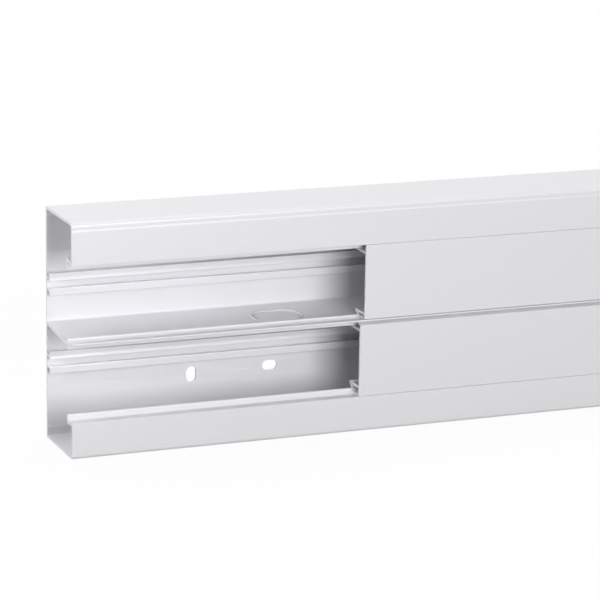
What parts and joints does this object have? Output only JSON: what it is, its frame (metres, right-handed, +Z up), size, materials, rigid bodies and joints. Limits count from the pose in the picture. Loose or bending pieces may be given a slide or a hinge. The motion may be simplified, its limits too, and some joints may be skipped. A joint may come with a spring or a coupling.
{
  "type": "cable trunking",
  "caption": "Long two-compartment wall trunking in pale plastic: an extruded base with a dividing shelf and snap-in lids, its left stretch left open.",
  "frame": {"origin": "centre of the bottom face that the trunking stands on, halfway along its length", "axes": "+X along the length towards the end with lids, -Y out of the front, +Y into the wall, +Z up"},
  "size_m": [2, 0.07, 0.195],
  "materials": {
    "base_plastic": "smooth extruded white plastic with a soft gloss",
    "lid_plastic": "smooth extruded white plastic with a soft gloss"
  },
  "bodies": {
    "root": {"trunking_base": "base_plastic", "upper_lid": "lid_plastic", "lower_lid": "lid_plastic"}
  },
  "joints": []
}
